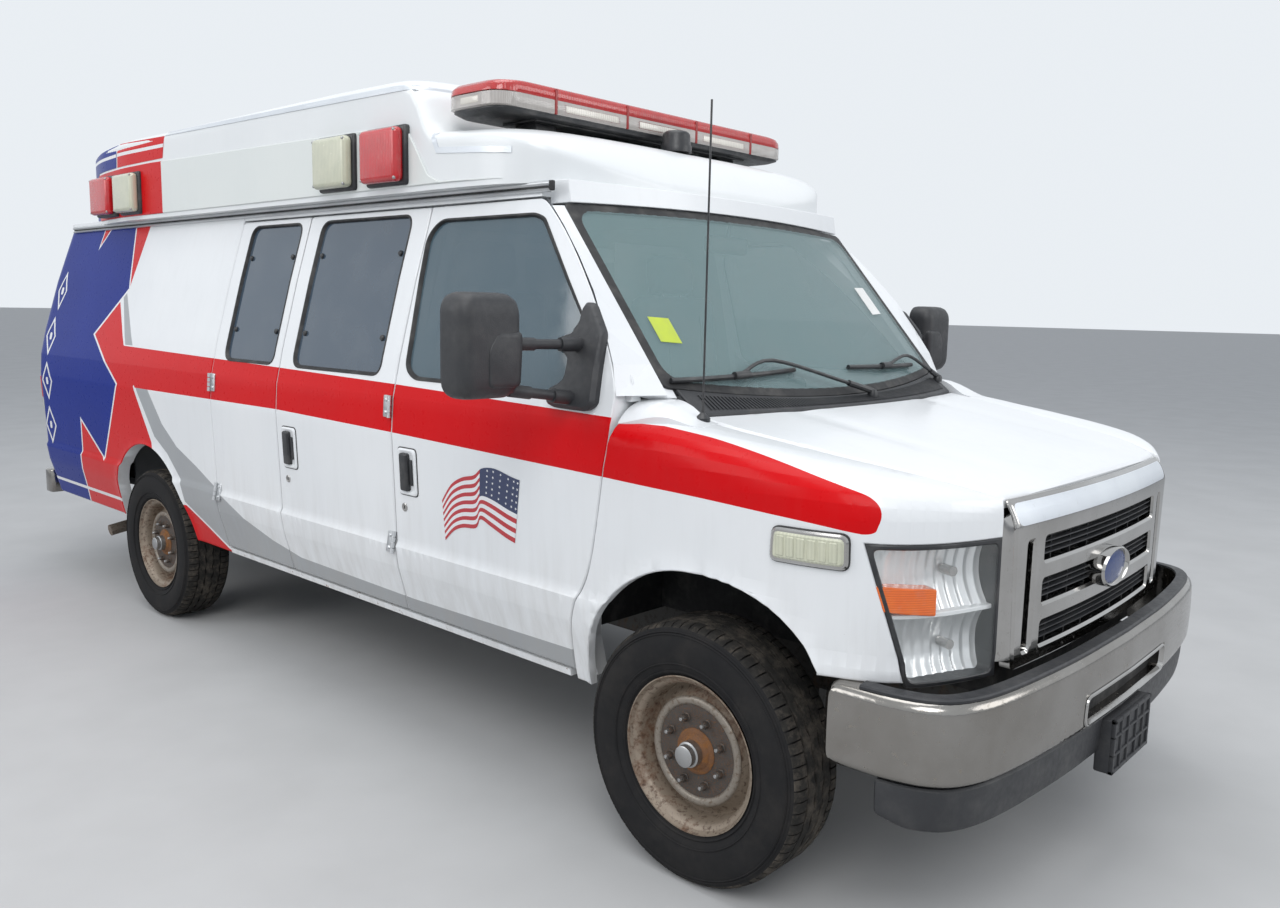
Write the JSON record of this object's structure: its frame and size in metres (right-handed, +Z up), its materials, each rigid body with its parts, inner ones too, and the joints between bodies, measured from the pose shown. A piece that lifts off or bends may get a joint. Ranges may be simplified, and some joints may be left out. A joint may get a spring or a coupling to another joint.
{
  "type": "van ambulance",
  "caption": "Long one-box van ambulance with a raised roof, hinged front, side and rear doors, an opening hood, steered front wheels and a roof light bar.",
  "frame": {"origin": "on the ground under the middle of the bounding box", "axes": "+Z up, the nose faces -Y, the kerb side with the twin side doors is -X"},
  "size_m": [2.791, 6.012, 2.425],
  "materials": {
    "body_paint": "gloss white, worn, with red, blue and grey stripes",
    "black_trim": "grained black",
    "bright_chrome": "chrome with light scratches",
    "bare_steel": "dusty dark steel",
    "engine_iron": "dusty",
    "wheel_steel": "rusty steel",
    "tyre_rubber": "dusty rubber",
    "tinted_glass": "dark tint",
    "screen_glass": "light tint",
    "lamp_lens": "clear lens over a bright reflector",
    "red_lens": "clear red",
    "cab_trim": "grained grey",
    "floor_metal": "dull grey",
    "cabinet_panel": "white laminate",
    "seat_cover": "woven grey",
    "bench_cover": "black vinyl"
  },
  "bodies": {
    "body": {"body_frame_left": "body_paint", "body_frame_right": "body_paint", "cabinets": "cabinet_panel", "chassis_frame": "bare_steel", "cowl_grille": "black_trim", "dashboard": "cab_trim", "engine_block": "engine_iron", "exhaust": "bare_steel", "fender_left": "body_paint", "fender_right": "body_paint", "floor_pan": "floor_metal", "front_axle_beams": "bare_steel", "front_bumper": "bright_chrome", "front_inner_body": "floor_metal", "front_valance": "black_trim", "fuel_tank": "black_trim", "grille": "bright_chrome", "headlamp_left": "lamp_lens", "headlamp_right": "lamp_lens", "light_bar": "red_lens", "quarter_panel_left": "body_paint", "quarter_panel_right": "body_paint", "rear_axle": "bare_steel", "rear_bumper": "bright_chrome", "rear_frame": "body_paint", "roof_raised": "body_paint", "seat_left": "seat_cover", "seat_right": "seat_cover", "squad_bench": "bench_cover", "whip_antenna": "black_trim", "windscreen": "screen_glass"},
    "hood_lid": {"hood": "body_paint"},
    "front_door_right": {"door_front_right": "body_paint", "glass_front_right": "tinted_glass", "mirror_right": "black_trim"},
    "front_door_left": {"door_front_left": "body_paint", "glass_front_left": "tinted_glass", "mirror_left": "black_trim"},
    "side_leaf_front": {"door_side_front": "body_paint", "glass_side_front": "tinted_glass"},
    "side_leaf_rear": {"door_side_rear": "body_paint", "glass_side_rear": "tinted_glass"},
    "rear_door_right": {"door_rear_right": "body_paint", "glass_rear_right": "tinted_glass"},
    "rear_door_left": {"door_rear_left": "body_paint", "glass_rear_left": "tinted_glass"},
    "steering_right": {"knuckle_right": "bare_steel"},
    "steering_left": {"knuckle_left": "bare_steel"},
    "wheel_front_right": {"tyre_front_right": "tyre_rubber", "rim_front_right": "wheel_steel"},
    "wheel_front_left": {"tyre_front_left": "tyre_rubber", "rim_front_left": "wheel_steel"},
    "wheel_rear_right": {"tyre_rear_right": "tyre_rubber", "rim_rear_right": "wheel_steel"},
    "wheel_rear_left": {"tyre_rear_left": "tyre_rubber", "rim_rear_left": "wheel_steel"}
  },
  "joints": [
    {"name": "hood_hinge", "type": "hinge", "parent": "body", "child": "hood_lid", "pos_m": [0, -1.986, 1.32], "axis": [-1, 0, 0], "range_deg": [0, 50]},
    {"name": "front_door_right_hinge", "type": "hinge", "parent": "body", "child": "front_door_right", "pos_m": [-1.008, -1.841, 1.1], "axis": [0, 0, 1], "range_deg": [0, 70]},
    {"name": "front_door_left_hinge", "type": "hinge", "parent": "body", "child": "front_door_left", "pos_m": [1.008, -1.841, 1.1], "axis": [0, 0, -1], "range_deg": [0, 70]},
    {"name": "side_leaf_front_hinge", "type": "hinge", "parent": "body", "child": "side_leaf_front", "pos_m": [-1.008, -0.77225, 1.1], "axis": [0, 0, 1], "range_deg": [0, 90]},
    {"name": "side_leaf_rear_hinge", "type": "hinge", "parent": "body", "child": "side_leaf_rear", "pos_m": [-1.008, 0.60725, 1.1], "axis": [0, 0, -1], "range_deg": [0, 170]},
    {"name": "rear_door_right_hinge", "type": "hinge", "parent": "body", "child": "rear_door_right", "pos_m": [-0.843, 2.884, 1.1], "axis": [0, 0, 1], "range_deg": [0, 170]},
    {"name": "rear_door_left_hinge", "type": "hinge", "parent": "body", "child": "rear_door_left", "pos_m": [0.843, 2.884, 1.1], "axis": [0, 0, -1], "range_deg": [0, 170]},
    {"name": "steer_left", "type": "hinge", "parent": "body", "child": "steering_left", "pos_m": [0.752, -2.141, 0.372], "axis": [0, 0, 1], "range_deg": [-33, 33]},
    {"name": "steer_right", "type": "hinge", "parent": "body", "child": "steering_right", "pos_m": [-0.752, -2.141, 0.372], "axis": [0, 0, 1], "range_deg": [-33, 33]},
    {"name": "wheel_front_right_spin", "type": "hinge", "parent": "steering_right", "child": "wheel_front_right", "pos_m": [-0.8815, -2.141, 0.372], "axis": [1, 0, 0], "continuous": true},
    {"name": "wheel_front_left_spin", "type": "hinge", "parent": "steering_left", "child": "wheel_front_left", "pos_m": [0.8815, -2.141, 0.372], "axis": [1, 0, 0], "continuous": true},
    {"name": "wheel_rear_right_spin", "type": "hinge", "parent": "body", "child": "wheel_rear_right", "pos_m": [-0.8535, 1.364, 0.372], "axis": [1, 0, 0], "continuous": true},
    {"name": "wheel_rear_left_spin", "type": "hinge", "parent": "body", "child": "wheel_rear_left", "pos_m": [0.8535, 1.364, 0.372], "axis": [1, 0, 0], "continuous": true}
  ],
  "couplings": [
    {"joint": "steer_right", "follows": "steer_left", "ratio": 1}
  ]
}
